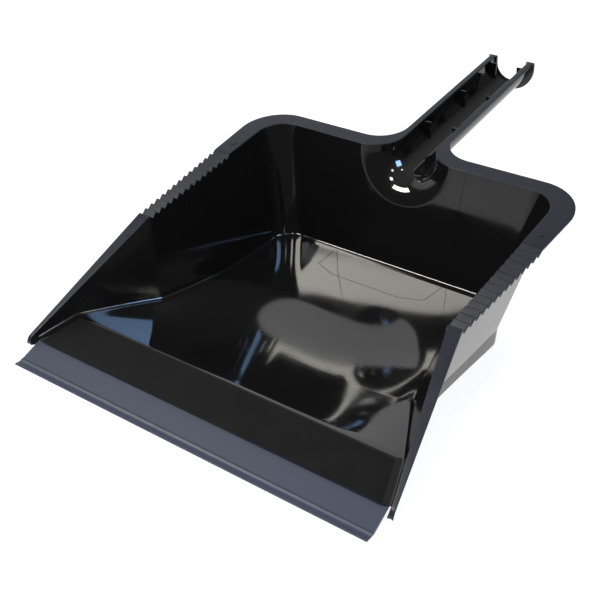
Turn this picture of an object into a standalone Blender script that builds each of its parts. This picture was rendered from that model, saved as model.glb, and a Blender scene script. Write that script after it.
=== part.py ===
"""Large black dustpan: one moulded pan with an open-channel handle, and a soft lip along its front.

Modelled in metres with +Z up. The mouth faces -Y, the handle points to +Y, and the pan is
symmetric about X = 0. The dimensions below are in millimetres. Those along Y are counted from the
front edge of the lip, those along Z from the ground; the object is then centred on its origin.
"""
from math import cos, pi, radians, sin, tan

import bmesh
import bpy
from mathutils import Matrix, Vector

MM = 0.001
LENGTH = 500.0                 # front edge of the lip to the end of the handle
GAP = 0.3                      # clearance between the lip and the moulding
WALL = 2.4                     # moulded wall thickness

# Rim: the plane of the rear rim and handle, and the straight slope down to the mouth.
FOLD_Y, FOLD_Z = 125.0, 88.6   # where the sloping rim meets the rear rim
RIM_TILT = radians(13.5)
TIP_Y, TIP_Z = 18.5, 13.0      # front end of the sloping rim
TIP_INNER, TIP_OUTER = 158.8, 161.8
FOLD_INNER, FOLD_OUTER = 133.0, 143.8

# Comb: triangular teeth across the rim on both sides.
TEETH, TOOTH_PITCH, TOOTH_DEPTH = 14, 7.5, 3.0
COMB_INNER, COMB_OUTER = 136.0, 152.5     # half widths at its rear end

# Rear corners, as half width, rear edge and corner radius.
RIM_CORNER = (137.0, 297.4, 24.0)
FLANGE_CORNER = (155.5, 312.5, 37.0)
FLOOR_CORNER = (115.5, 291.8, 22.0)

# Floor, with a ridge at its front and a ramp down to the lip.
FLOOR_REAR_Z, FLOOR_FOLD_Z = 28.6, 22.0
FLOOR_FOLD = (116.8, 121.3)
FLOOR_SAG = 6.0                # how far the floor sags between its fold and its rear edge
FOLD_SOFTNESS = 30.0           # half length over which the fold is eased
HOLLOW_MIDDLE, HOLLOW_FRONT = 3.2, 5.0    # further depth of the floor away from the side walls
TIP_FOOT = (157.6, TIP_Y, 9.5)
RAMP_END = (156.2, 25.4, 12.7)
RIDGE = (146.5, 56.7, 23.4)
RAMP_TOP_Y, RIDGE_TOP_Y = 25.8, 58.5      # where the columns over the ramp's ends meet the rim
FLARE = 0.15                   # outward lean of the walls beside the ramp
RAMP_FRONT_THICKNESS = 1.2
SKIRT_HEIGHT = 14.0            # upright band around the foot
TIP_FOOT_Z = 7.5               # the foot rises from the ground to here at the tips
FOOT_RISE_LENGTH = 45.0
BAND_SHARE = 0.6               # the band's height where the floor comes too low for it

# Handle: a channel open at the top, entered from the pan through a bell mouth.
MOUTH_HALF, MOUTH_DEPTH = 45.0, 46.0
CHANNEL_HALF, CHANNEL_DEPTH = 16.8, 23.3
HANDLE_HALF = 22.2             # half width over the handle's top edges
HANDLE_FILLET = 27.0           # plan radius between the rear flange and the handle
RIB_Y = (359.0, 424.0, 488.0)
RIB_TOP, RIB_FOOT, RIB_REACH, RIB_THICKNESS = 3.5, 20.0, 10.5, 1.6
RIB_LEAN, RIB_SIDE_SHARE = 0.5, 0.6       # how its free edge leans, how far down its buried edge goes
END_PLATE = 2.6                # thickness of the collar that closes the handle's end
END_OUTER_HALF, END_OUTER_DEPTH = 23.6, 31.0
END_INNER_HALF, END_INNER_DEPTH = 15.2, 22.6
END_RISE = 0.3                 # how far the collar's ends stop below the rim

# Lip: a tongue held under the ramp, a sloping blade and a thin front flange.
LIP_HALF = 155.0
LIP_THICKNESS = 2.0
LIP_CREASE_Y, LIP_CREASE_Z = 7.0, 1.7
LIP_EDGE, LIP_HEEL, LIP_CLEARANCE = 0.9, 1.5, 1.0
TONGUE_LENGTH = 20.0
LEDGE_THICKNESS, LEDGE_LENGTH, WEB_THICKNESS = 2.0, 18.0, 2.4

ARC_STEPS = 8                  # segments in a rear corner
MOUTH_STEPS = 12               # segments from the rim down to the middle of the channel
BELL_STEPS = 8                 # segments through the bell mouth
HANDLE_MIDDLE = 400.0          # one row of points half way along the handle
FRONT_STEPS = 4                # segments from the ridge to the fold
FLOOR_STEPS = 8                # segments across the floor
COLLAR_STEPS = (20, 16)        # segments round its outer and inner edge


def point(x, y, z):
    """A place in millimetres from the lip's front edge, as a vector in metres about the origin."""
    overall = LENGTH + END_OUTER_DEPTH * sin(RIM_TILT)
    return Vector((x, y - overall / 2, z)) * MM


def blend(a, b, t):
    return a + (b - a) * t


def rim_z(y):
    """Height of the rim's upper face: level with the handle behind the fold, sloping before it."""
    if y >= FOLD_Y:
        return FOLD_Z + (y - FOLD_Y) * tan(RIM_TILT)
    return blend(TIP_Z, FOLD_Z, (y - TIP_Y) / (FOLD_Y - TIP_Y))


def foot_z(y):
    """The lower edge of the walls: on the ground, rising to the tips of the mouth."""
    return max(0.0, TIP_FOOT_Z * (1.0 - (y - TIP_Y) / FOOT_RISE_LENGTH))


def floor_line(y):
    """Height of the floor behind its ridge before it sags."""
    if y < FLOOR_FOLD[1]:
        return blend(RIDGE[2], FLOOR_FOLD_Z, (y - RIDGE[1]) / (FLOOR_FOLD[1] - RIDGE[1]))
    t = (y - FLOOR_FOLD[1]) / (FLOOR_CORNER[1] - FLOOR_FOLD[1])
    return blend(FLOOR_FOLD_Z, FLOOR_REAR_Z, t)


def floor_z(y):
    """Height of the floor's upper face beside the walls."""
    length = FLOOR_CORNER[1] - FLOOR_FOLD[1]
    t = min(max((y - FLOOR_FOLD[1]) / length, 0.0), 1.0)
    rear = (FLOOR_REAR_Z - FLOOR_FOLD_Z - pi * FLOOR_SAG) / length
    front = (FLOOR_FOLD_Z - RIDGE[2]) / (FLOOR_FOLD[1] - RIDGE[1])
    near = max(FOLD_SOFTNESS - abs(y - FLOOR_FOLD[1]), 0.0)
    return floor_line(y) - FLOOR_SAG * sin(pi * t) + (rear - front) * near ** 2 / (4 * FOLD_SOFTNESS)


def hollow(share, y):
    """How far the floor lies below its edges at a share of its half width."""
    t = min(max((y - RIDGE[1]) / (FLOOR_CORNER[1] - RIDGE[1]), 0.0), 1.0)
    return (1 - share ** 4) * (HOLLOW_MIDDLE * sin(pi * t) + HOLLOW_FRONT * sin(2 * pi * t))


def slope_at(y, tip, fold):
    """Half width of the sloping rim at y, from its values at the tip and at the fold."""
    return blend(tip, fold, (y - TIP_Y) / (FOLD_Y - TIP_Y))


def corner_arc(corner, steps):
    """Points around a rear corner, from the side to the back."""
    half, rear, radius = corner
    turn = [pi / 2 * k / steps for k in range(steps + 1)]
    return [(half - radius + radius * cos(a), rear - radius + radius * sin(a)) for a in turn]


def channel_section(half, depth, steps):
    """A U from the rim down to the middle: a short straight side, then a quarter circle."""
    straight = depth - half
    points = [(half, 0.0)]
    for k in range(steps):
        a = pi / 2 * k / (steps - 1)
        points.append((half * cos(a), straight + half * sin(a)))
    return points


def channel_point(x, depth, y):
    """A place in the handle: x across, depth square to the rim plane, y where it starts on it."""
    return Vector((x, y + depth * sin(RIM_TILT), rim_z(y) - depth * cos(RIM_TILT)))


def lowered(foot, top, z):
    """The point at height z on the line of the wall through foot and top."""
    return blend(top, foot, (top.z - z) / (top.z - foot.z))


def wall_column(foot, top, edge, drop=0.0):
    """Foot, top and edge with the foot slid down its wall to the floor and the rim lowered by drop."""
    low = lowered(foot, top, floor_z(foot.y)) if foot.y > RIDGE[1] else foot
    return low, lowered(foot, top, top.z - drop), edge - Vector((0.0, 0.0, drop))


def slope_column(foot, top_y):
    top = Vector((slope_at(top_y, TIP_INNER, FOLD_INNER), top_y, rim_z(top_y)))
    edge = Vector((slope_at(top_y, TIP_OUTER, FOLD_OUTER), top_y, rim_z(top_y)))
    return Vector(foot), top, edge


def side_columns():
    """(foot on the floor, top on the rim, outer edge of the flange) from the tip to the comb's rear."""
    columns = [slope_column(TIP_FOOT, TIP_Y), slope_column(RAMP_END, RAMP_TOP_Y)]
    ridge, fold = slope_column(RIDGE, RIDGE_TOP_Y), slope_column((*FLOOR_FOLD, FLOOR_FOLD_Z), FOLD_Y)
    for k in range(FRONT_STEPS):
        columns.append(wall_column(*(blend(a, b, k / FRONT_STEPS) for a, b in zip(ridge, fold))))
    folds = 2 * TEETH
    rear_foot_y = FLOOR_CORNER[1] - FLOOR_CORNER[2]
    for k in range(folds + 1):
        y = FOLD_Y + TOOTH_PITCH / 2 * k
        foot_y = FLOOR_FOLD[1] + TOOTH_PITCH / 2 * k
        t = (foot_y - FLOOR_FOLD[1]) / (rear_foot_y - FLOOR_FOLD[1])
        foot = Vector((blend(FLOOR_FOLD[0], FLOOR_CORNER[0], t), foot_y, floor_line(foot_y)))
        top = Vector((blend(FOLD_INNER, COMB_INNER, k / folds), y, rim_z(y)))
        edge = Vector((blend(FOLD_OUTER, COMB_OUTER, k / folds), y, rim_z(y)))
        columns.append(wall_column(foot, top, edge, TOOTH_DEPTH if k % 2 else 0.0))
    return columns


def corner_columns():
    """The same three points around the rear corner."""
    arcs = [corner_arc(c, ARC_STEPS) for c in (FLOOR_CORNER, RIM_CORNER, FLANGE_CORNER)]
    columns = []
    for foot, top, edge in zip(*arcs):
        columns.append(wall_column(Vector((*foot, floor_line(foot[1]))), Vector((*top, rim_z(top[1]))),
                                   Vector((*edge, rim_z(edge[1])))))
    return columns


def rear_wall_point(x, z):
    """A point on the inner face of the rear wall."""
    top_z = rim_z(RIM_CORNER[1])
    y = blend(FLOOR_CORNER[1], RIM_CORNER[1], (z - FLOOR_REAR_Z) / (top_z - FLOOR_REAR_Z))
    return Vector((x, y, z))


def mouth_columns():
    """Below the bell mouth: (foot, point on the mouth's edge), from its side to the middle."""
    top_z = rim_z(RIM_CORNER[1])
    columns = []
    for j in range(MOUTH_STEPS + 1):
        a = pi / 2 * j / MOUTH_STEPS
        x = MOUTH_HALF * cos(a) if j < MOUTH_STEPS else 0.0
        foot = Vector((MOUTH_HALF * (1 - j / MOUTH_STEPS), FLOOR_CORNER[1], FLOOR_REAR_Z))
        columns.append((foot, rear_wall_point(x, top_z - MOUTH_DEPTH * sin(a))))
    return columns


def handle_stations():
    """Rows of points through the bell mouth and along the channel, each from the rim to the middle."""
    section = channel_section(CHANNEL_HALF, CHANNEL_DEPTH, MOUTH_STEPS)
    section[-1] = (0.0, section[-1][1])
    along = Vector((0.0, cos(RIM_TILT), sin(RIM_TILT)))
    wall_rise = rim_z(RIM_CORNER[1]) - FLOOR_REAR_Z
    lean = Vector((0.0, RIM_CORNER[1] - FLOOR_CORNER[1], wall_rise))
    normal = lean.cross(Vector((1.0, 0.0, 0.0))).normalized()
    on_wall = rear_wall_point(0.0, FLOOR_REAR_Z)
    edge = [top for _, top in mouth_columns()]
    starts = []
    for x, depth in section:
        start = channel_point(x, depth, RIM_CORNER[1])
        starts.append(start + along * ((on_wall - start).dot(normal) / along.dot(normal)))
    rows = []
    for k in range(1, BELL_STEPS + 1):
        turn = pi / 2 * k / BELL_STEPS
        rows.append([e + (s - e) * sin(turn) + along * (s - e).length * (1 - cos(turn))
                     for e, s in zip(edge, starts)])
    for y in (HANDLE_MIDDLE, LENGTH - END_PLATE / 2):
        rows.append([channel_point(x, depth, y) for x, depth in section])
    return rows


def handle_edges(rows):
    """Outer edge of the flange beside each row of handle_stations."""
    fillet_x, fillet_y = HANDLE_HALF + HANDLE_FILLET, FLANGE_CORNER[1] + HANDLE_FILLET
    edges = []
    for k, row in enumerate(rows, start=1):
        turn = pi / 2 * min(k / BELL_STEPS, 1.0)
        y = fillet_y - HANDLE_FILLET * cos(turn) if k <= BELL_STEPS else row[0].y
        edges.append(Vector((fillet_x - HANDLE_FILLET * sin(turn), y, rim_z(y))))
    return edges


def wall_rows(foot, top):
    """One column of the wall: the foot of the skirt, the top of the skirt, the rim."""
    bottom = foot_z(foot.y)
    band = lowered(foot, top, min(SKIRT_HEIGHT, blend(bottom, foot.z, BAND_SHARE)))
    return [Vector((band.x, band.y, bottom)), band, top]


def add_grid(bm, rows):
    """Join rows of vertices with quads."""
    for upper, lower in zip(rows, rows[1:]):
        for k in range(len(upper) - 1):
            bm.faces.new((upper[k], upper[k + 1], lower[k + 1], lower[k]))


def half_skin(name):
    """Inner faces of the walls, bell mouth and channel and the top of the flange, for X >= 0."""
    bm = bmesh.new()

    def vertex(place):
        return bm.verts.new(point(*place))

    columns = side_columns() + corner_columns()
    mouth = mouth_columns()
    wall = [[vertex(p) for p in wall_rows(foot, top)] for foot, top, _ in columns]
    wall += [[vertex(p) for p in wall_rows(foot, top)] for foot, top in mouth]
    add_grid(bm, wall)
    stations = handle_stations()
    edge_of_mouth = [column[-1] for column in wall[len(columns):]]
    channel = [edge_of_mouth] + [[vertex(p) for p in row] for row in stations]
    add_grid(bm, channel)
    fillet = Vector((HANDLE_HALF + HANDLE_FILLET, FLANGE_CORNER[1], rim_z(FLANGE_CORNER[1])))
    inner = [column[-1] for column in wall[:len(columns) + 1]] + [row[0] for row in channel[1:]]
    outer = [edge for _, _, edge in columns] + [fillet] + handle_edges(stations)
    add_grid(bm, [inner, [vertex(p) for p in outer]])
    bmesh.ops.recalc_face_normals(bm, faces=bm.faces)
    floor_side = min(bm.faces, key=lambda f: (f.calc_center_median() - point(0, 295, 60)).length)
    if floor_side.normal.y > 0:
        bmesh.ops.reverse_faces(bm, faces=bm.faces)
    return to_object(bm, name)


def to_object(bm, name):
    mesh = bpy.data.meshes.new(name)
    bm.to_mesh(mesh)
    bm.free()
    obj = bpy.data.objects.new(name, mesh)
    PARTS.objects.link(obj)
    return obj


def loft(sections, name):
    """A closed body through matching closed sections."""
    bm = bmesh.new()
    rings = [[bm.verts.new(point(*p)) for p in section] for section in sections]
    for a, b in zip(rings, rings[1:]):
        for k in range(len(a)):
            following = (k + 1) % len(a)
            bm.faces.new((a[k], a[following], b[following], b[k]))
    bm.faces.new(rings[0])
    bm.faces.new(rings[-1])
    bmesh.ops.recalc_face_normals(bm, faces=bm.faces)
    return to_object(bm, name)


def mid_wall(foot, top, outward=WALL / 2):
    """The foot moved half way into the wall behind it."""
    lean = (top - foot).normalized()
    away = Vector((1.0, 0.0, 0.0)) if foot.y < FLOOR_CORNER[1] - FLOOR_CORNER[2] else \
        Vector((foot.x - FLOOR_CORNER[0] + FLOOR_CORNER[2],
                foot.y - FLOOR_CORNER[1] + FLOOR_CORNER[2], 0.0)).normalized()
    away = (away - lean * away.dot(lean)).normalized()
    return foot + away * outward


def floor_plate():
    """Ramp and floor as one plate of upright sections, its edges buried in the walls."""
    columns = side_columns()[1:] + corner_columns()
    shares = [2 * j / FLOOR_STEPS - 1 for j in range(FLOOR_STEPS + 1)]
    sections = []
    for k, (foot, top, _) in enumerate(columns):
        edge = mid_wall(foot, top)
        thick = RAMP_FRONT_THICKNESS if k == 0 else WALL
        y = foot.y if k == 0 else edge.y
        upper = [(edge.x * share, y, foot.z - hollow(share, foot.y)) for share in shares]
        sections.append(upper + [(x, y, z - thick) for x, y, z in reversed(upper)])
    return loft(sections, "floor_plate")


RAMP_RUN = Vector((0.0, RAMP_END[1] - RIDGE[1], RAMP_END[2] - RIDGE[2]))
RAMP_LENGTH = RAMP_RUN.length
RAMP_DOWN = RAMP_RUN.normalized()
RAMP_INTO = Vector((0.0, -RAMP_DOWN.z, RAMP_DOWN.y))      # square to the ramp, into the material


def under_ramp(distance, depth):
    """(y, z) at a distance down the ramp and a depth below its lower face."""
    skin = blend(WALL, RAMP_FRONT_THICKNESS, distance / RAMP_LENGTH)
    place = Vector((0.0, RIDGE[1], RIDGE[2])) + RAMP_DOWN * distance + RAMP_INTO * (skin + depth)
    return place.y, place.z


def front_half_width(y, z):
    """Half width between the flared walls at a place beside the ramp."""
    t = (y - RAMP_END[1]) / (RIDGE[1] - RAMP_END[1])
    return blend(RAMP_END[0], RIDGE[0], t) + FLARE * (z - blend(RAMP_END[2], RIDGE[2], t))


def slanted_prism(outline, half_width, name):
    """A bar across the pan with the (y, z) outline given, each corner as long as half_width says."""
    left = [(-half_width(y, z), y, z) for y, z in outline]
    right = [(half_width(y, z), y, z) for y, z in outline]
    return loft([left, right], name)


def lip_holder():
    """Web and ledge under the ramp that hold the lip's tongue."""
    back = RAMP_LENGTH - TONGUE_LENGTH - GAP
    slot = LIP_THICKNESS + 2 * GAP
    front = back + LEDGE_LENGTH
    outline = [under_ramp(back - WEB_THICKNESS, -WALL / 4), under_ramp(back, -WALL / 4),
               under_ramp(back, slot), under_ramp(front, slot),
               under_ramp(front, slot + LEDGE_THICKNESS),
               under_ramp(back - WEB_THICKNESS, slot + LEDGE_THICKNESS)]
    return slanted_prism(outline, lambda y, z: front_half_width(y, z) + WALL / 2, "lip_holder")


def flat_outline(points, thickness, matrix, name):
    """A flat outline with a thickness, as a mesh placed by matrix."""
    curve = bpy.data.curves.new(name, "CURVE")
    curve.dimensions = "2D"
    curve.fill_mode = "BOTH"
    curve.extrude = thickness / 2 * MM
    spline = curve.splines.new("POLY")
    spline.points.add(len(points) - 1)
    for target, (x, y) in zip(spline.points, points):
        target.co = (x * MM, y * MM, 0.0, 1.0)
    spline.use_cyclic_u = True
    source = bpy.data.objects.new(name, curve)
    PARTS.objects.link(source)
    source.matrix_world = matrix
    bpy.context.view_layer.update()
    evaluated = source.evaluated_get(bpy.context.evaluated_depsgraph_get())
    mesh = bpy.data.meshes.new_from_object(evaluated)
    bm = bmesh.new()
    bm.from_mesh(mesh)
    bmesh.ops.remove_doubles(bm, verts=bm.verts, dist=0.00001)
    bmesh.ops.recalc_face_normals(bm, faces=bm.faces)
    bm.to_mesh(mesh)
    bm.free()
    bpy.data.objects.remove(source)
    obj = bpy.data.objects.new(name, mesh)
    PARTS.objects.link(obj)
    obj.matrix_world = matrix
    return obj


def handle_frame(y):
    """Matrix of a section of the handle: X across, Y down into the channel, Z along the handle."""
    across = Vector((1.0, 0.0, 0.0))
    into = Vector((0.0, sin(RIM_TILT), -cos(RIM_TILT)))
    along = across.cross(into)
    frame = Matrix((across, into, along)).transposed().to_4x4()
    frame.translation = point(0.0, y, rim_z(y))
    return frame


def u_outline(half, depth, steps, top):
    """Half circle outline with upright sides up to top, from the +X side round to the -X side."""
    turn = [pi * k / steps for k in range(steps + 1)]
    arc = [(half * cos(a), depth - half + half * sin(a)) for a in turn]
    return [(half, top)] + arc + [(-half, top)]


def end_collar():
    """The U-shaped plate that stands proud around the end of the handle."""
    outer = u_outline(END_OUTER_HALF, END_OUTER_DEPTH, COLLAR_STEPS[0], END_RISE)
    inner = u_outline(END_INNER_HALF, END_INNER_DEPTH, COLLAR_STEPS[1], END_RISE)
    frame = handle_frame(LENGTH - END_PLATE / 2 * cos(RIM_TILT))
    return flat_outline(outer + inner[::-1], END_PLATE, frame, "end_collar")


def handle_rib(y, side):
    """A thin gusset across the channel's wall, level near the rim and dying out below."""
    buried = CHANNEL_HALF + WALL / 2
    outline = [(side * RIB_REACH, RIB_TOP), (side * (RIB_REACH + RIB_LEAN), RIB_FOOT),
               (side * buried, RIB_FOOT * RIB_SIDE_SHARE), (side * buried, RIB_TOP)]
    return flat_outline(outline, RIB_THICKNESS, handle_frame(y), "handle_rib")


def unite(body, piece):
    """Join piece into body with a Boolean union and keep the result as body's mesh."""
    modifier = body.modifiers.new("union", "BOOLEAN")
    modifier.operation = "UNION"
    modifier.solver = "EXACT"
    modifier.object = piece
    bake(body)
    bpy.data.objects.remove(piece)


def bake(obj):
    """Replace an object's mesh with its evaluated one and clear its modifiers."""
    bpy.context.view_layer.update()
    evaluated = obj.evaluated_get(bpy.context.evaluated_depsgraph_get())
    mesh = bpy.data.meshes.new_from_object(evaluated)
    obj.modifiers.clear()
    obj.data = mesh


def material(name, colour, roughness):
    result = bpy.data.materials.new(name)
    result.use_nodes = True
    shader = result.node_tree.nodes["Principled BSDF"]
    shader.inputs["Base Color"].default_value = (*colour, 1.0)
    shader.inputs["Roughness"].default_value = roughness
    shader.inputs["Metallic"].default_value = 0.0
    return result


def make_pan():
    """The moulding: shell, floor, lip holder, ribs and end collar as one body."""
    pan = half_skin("dustpan_body")
    mirror = pan.modifiers.new("mirror", "MIRROR")
    mirror.use_axis = (True, False, False)
    mirror.merge_threshold = 0.00001
    shell = pan.modifiers.new("shell", "SOLIDIFY")
    shell.thickness = WALL * MM
    shell.offset = -1.0
    shell.use_even_offset = True
    shell.use_quality_normals = True
    bake(pan)
    unite(pan, floor_plate())
    unite(pan, lip_holder())
    unite(pan, end_collar())
    for y in RIB_Y:
        for side in (1, -1):
            unite(pan, handle_rib(y, side))
    pan.data.materials.clear()
    pan.data.materials.append(material("black_plastic", (0.012, 0.012, 0.014), 0.12))
    return pan


def lip_outline():
    """(y, z) outline of the lip, from its front edge along the top to the tongue and back."""
    tongue_back = RAMP_LENGTH - TONGUE_LENGTH
    return [(0.0, 0.0), (0.0, LIP_EDGE), (LIP_CREASE_Y, LIP_CREASE_Z), under_ramp(RAMP_LENGTH, GAP),
            under_ramp(tongue_back, GAP), under_ramp(tongue_back, GAP + LIP_THICKNESS),
            under_ramp(RAMP_LENGTH, GAP + LIP_THICKNESS), (LIP_CREASE_Y + LIP_HEEL, 0.0)]


def make_lip():
    """The soft strip along the mouth."""
    lip = slanted_prism(lip_outline(), lambda y, z: min(
        LIP_HALF, front_half_width(y, z) - LIP_CLEARANCE), "front_lip")
    lip.data.materials.append(material("grey_rubber", (0.085, 0.088, 0.115), 0.45))
    return lip


def build():
    for obj in list(bpy.data.objects):
        bpy.data.objects.remove(obj)
    bpy.context.scene.collection.children.link(PARTS)
    make_pan()
    make_lip()


PARTS = bpy.data.collections.new("dustpan")
build()
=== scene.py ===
"""The look of the large dustpan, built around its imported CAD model.

The pan is rebuilt here as one closed, finely divided mesh with rounded edges, fillets, a proper comb
and mould marks; the lip is rebuilt with a soft profile. The dimensions are in millimetres, as in the
CAD source: y from the front edge of the lip, z from the ground, x from the plane of symmetry. The
frame's own box says where that front edge is.
"""

from math import atan2, cos, pi, radians, sin, sqrt, tan

import bmesh
import bpy
from mathutils import Matrix, Vector


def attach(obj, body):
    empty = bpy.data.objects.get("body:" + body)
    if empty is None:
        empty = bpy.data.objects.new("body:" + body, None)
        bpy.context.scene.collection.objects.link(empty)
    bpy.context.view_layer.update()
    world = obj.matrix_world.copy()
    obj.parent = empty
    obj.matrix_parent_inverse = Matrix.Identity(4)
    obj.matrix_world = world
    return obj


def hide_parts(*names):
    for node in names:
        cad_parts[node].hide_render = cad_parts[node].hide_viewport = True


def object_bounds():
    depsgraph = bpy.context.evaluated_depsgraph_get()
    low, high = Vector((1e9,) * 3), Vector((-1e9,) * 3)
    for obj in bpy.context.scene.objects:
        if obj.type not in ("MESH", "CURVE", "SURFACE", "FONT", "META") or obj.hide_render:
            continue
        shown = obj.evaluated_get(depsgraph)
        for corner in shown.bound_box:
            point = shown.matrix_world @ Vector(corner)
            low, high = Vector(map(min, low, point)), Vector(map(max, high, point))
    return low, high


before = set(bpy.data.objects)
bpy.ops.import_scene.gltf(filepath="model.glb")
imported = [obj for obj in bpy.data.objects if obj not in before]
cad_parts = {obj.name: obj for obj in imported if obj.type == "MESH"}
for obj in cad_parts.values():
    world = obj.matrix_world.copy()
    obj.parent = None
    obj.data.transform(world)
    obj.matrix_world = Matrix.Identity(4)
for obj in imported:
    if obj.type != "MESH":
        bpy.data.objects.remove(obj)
CAD_LOW, CAD_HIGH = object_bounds()

MM = 0.001                                # in metres
TOLERANCE = 0.01
LENGTH = 500.0
GAP = 0.3                                 # between the lip's tongue and its slot
WALL = 2.4

# Rim
FOLD_Y, FOLD_Z = 125.0, 88.6
RIM_TILT = radians(13.5)
TIP_Y, TIP_Z = 18.5, 13.0
TIP_INNER, TIP_OUTER = 158.8, 161.8
FOLD_INNER, FOLD_OUTER = 133.0, 143.8

# Comb
TEETH, TOOTH_PITCH, TOOTH_DEPTH = 14, 7.5, 3.0
COMB_INNER, COMB_OUTER = 136.0, 152.5
CREST_LAND, VALLEY_LAND = 0.45, 0.35      # half lengths of the rounded crests and valleys
CREST_DROP, SHOULDER_DROP = 0.12, 0.35    # how far a crest's middle and its ends lie below the rim
VALLEY_RISE = 0.25                        # how far a valley's ends lie above its middle
COMB_LENGTH = TEETH * TOOTH_PITCH

# Rear corners, as half width, rear edge and corner radius
RIM_CORNER = (137.0, 297.4, 24.0)
FLANGE_CORNER = (155.5, 312.5, 37.0)
FLOOR_CORNER = (115.5, 291.8, 22.0)

# Floor, ridge and ramp
FLOOR_REAR_Z, FLOOR_FOLD_Z = 28.6, 22.0
TIP_FOOT = (157.6, 18.5, 9.5)
TIP_RADIUS = 3.0
RAMP_END = (156.2, 25.4, 12.7)
RIDGE = (146.5, 56.7, 23.4)
FLOOR_FOLD = (116.8, 121.3)
FLOOR_SAG = 6.0                           # how far the floor sags between its fold and its rear edge
RAMP_TOP_Y, RIDGE_TOP_Y = 25.8, 58.5      # where the wall's columns at the ramp and ridge meet the rim
RAMP_FRONT_THICKNESS = 1.2
RIDGE_ROUND = 2.2                         # half length of the rounded ridge
FLARE = 0.15                              # outward lean of the walls beside the ramp
FILLET = 2.6                              # between the floor and the walls
FLOOR_MARGIN = 6.0                        # strip of floor that belongs to the wall's section
FOLD_SOFTNESS = 30.0                      # half length over which the fold is eased
HOLLOW_MIDDLE, HOLLOW_FRONT = 3.2, 5.0    # further depth of the floor away from the side walls

# Skirt
SKIRT_HEIGHT = 14.0
BAND_SHARE = 0.6                          # the band's height where the floor comes too low for it
TIP_FOOT_Z = 7.5
TIP_END_SHARES = (0.2, 0.7, 0.45)         # where the section's ends lie in front of the floor
FOOT_RISE_LENGTH = 45.0

# Handle
MOUTH_HALF, MOUTH_DEPTH = 45.0, 46.0
CHANNEL_HALF, CHANNEL_DEPTH = 16.8, 23.3
HANDLE_HALF = 22.2
HANDLE_FILLET = 27.0
RIB_Y = (359.0, 424.0, 488.0)
RIB_TOP, RIB_FOOT, RIB_REACH, RIB_THICKNESS = 2.4, 20.0, 10.5, 1.6
RIB_LEAN, RIB_SIDE_SHARE = 0.5, 0.6       # how its free edge leans, how far down its buried edge goes
RIB_BEVEL, COLLAR_BEVEL = 0.3, 0.35
END_PLATE = 2.6
END_OUTER_HALF, END_OUTER_DEPTH = 23.6, 31.0
END_INNER_HALF, END_INNER_DEPTH = 15.2, 22.6
END_RISE = 0.3                            # how far the collar's ends stop below the rim

# Lip
LIP_HALF = 155.0
LIP_THICKNESS = 2.0
LIP_CREASE_Y = 7.0
LIP_CLEARANCE = 1.0                       # between the lip's ends and the walls
LIP_EDGE, LIP_HEEL = 1.3, 1.5             # height of its front edge, length of the heel behind the crease
LIP_SOLE = (3.0, 0.0)                     # (y, z) where its outline starts and ends
LIP_HOLLOW = (4.2, 0.8)                   # lowest place of the flange's hollow
LIP_BEAD_FRONT, LIP_BEAD_REAR = (LIP_CREASE_Y - 0.6, 2.3), (LIP_CREASE_Y + 0.9, 2.35)
LIP_ROUNDS = ((0.3, 2), (0.5, 3), (5.0, 6), (0.5, 3), (0.8, 3), (1.5, 2), (0.4, 2), (0.4, 2), (1.5, 2),
              (0.6, 2))
TONGUE_LENGTH = 20.0
LEDGE_THICKNESS, LEDGE_LENGTH, WEB_THICKNESS = 2.0, 18.0, 2.4

# Mould marks: grooves on the rear wall and rear floor, and discs left by the ejector pins on the rim
GROOVE_WIDTH, GROOVE_DEPTH = 0.55, 0.4
INSERT_LINE_X = 56.0
INSERT_OUTLINE = ((55.0, 286.0), (53.0, 257.0), (34.0, 248.0))      # (x, y) of its right half
PIN_RADIUS, PIN_HEIGHT = 2.75, 0.45
PINS = ((142.0, 108.0), (144.5, 246.0))   # (x, y) on the right rim

# Mesh density
RIDGE_SHARES = (0.33, 0.66)
TIP_SHARES = (0.0, 0.03, 0.1, 0.2, 0.32, 0.5, 0.7, 0.9, 0.997)      # columns from the tip to the ramp
RAMP_STEPS, FOLD_STEPS, SIDE_STEPS = 9, 16, 8
CORNER_STEPS = 24
REAR_STEPS = 10
MOUTH_STEPS = 22
BELL_STEPS = 18
HANDLE_STEPS = 14
FIRST_MOUTH_ANGLE = radians(8.0)
COLLAR_STEPS = (40, 32)                   # round the end collar's outer and inner edge
INSERT_STEPS, PIN_STEPS, LIP_STEPS = 8, 32, 48
SHARP_ANGLE = radians(38)                 # edges that turn further than this stay sharp

# Edge rounding of the wall's section: (radius, segments) at each corner of the polyline
ROUND_RIM_INNER = (0.9, 4)
ROUND_FLANGE_TOP = (0.7, 3)
ROUND_FLANGE_LOW = (0.5, 2)
ROUND_UNDER_FLANGE = (0.8, 2)
ROUND_BAND = (1.2, 2)
ROUND_FOOT = (0.6, 2)
SHARP = (0.0, 0)
SHORTEST_REACH, LONGEST_SHARE = 0.05, 0.45                          # of a rounded corner along its sides

# Studio: radiance of its parts, and where they lie, in degrees up and from +X towards +Y
TABLE, ROOM, CEILING, BACKDROP = 1.0, 0.10, 0.40, 1.1
TABLE_EDGE, CEILING_EDGE = (-14, -7), (30, 62)
BACKDROP_AZIMUTH, BACKDROP_HALF, BACKDROP_TOP = 158, 50, 47
BACKDROP_SOFTNESS = 4                     # half width of its soft edges
BACKDROP_REST = 0.3                       # what is left of it above its top
FLOOR_SIZE, FLOOR_DROP, DOME_RADIUS = 12.0, 0.0002, 8.0             # in metres
FLOOR_GREY, FLOOR_GLOW, DOME_GLOW = 0.45, 0.88, 1.0

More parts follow.
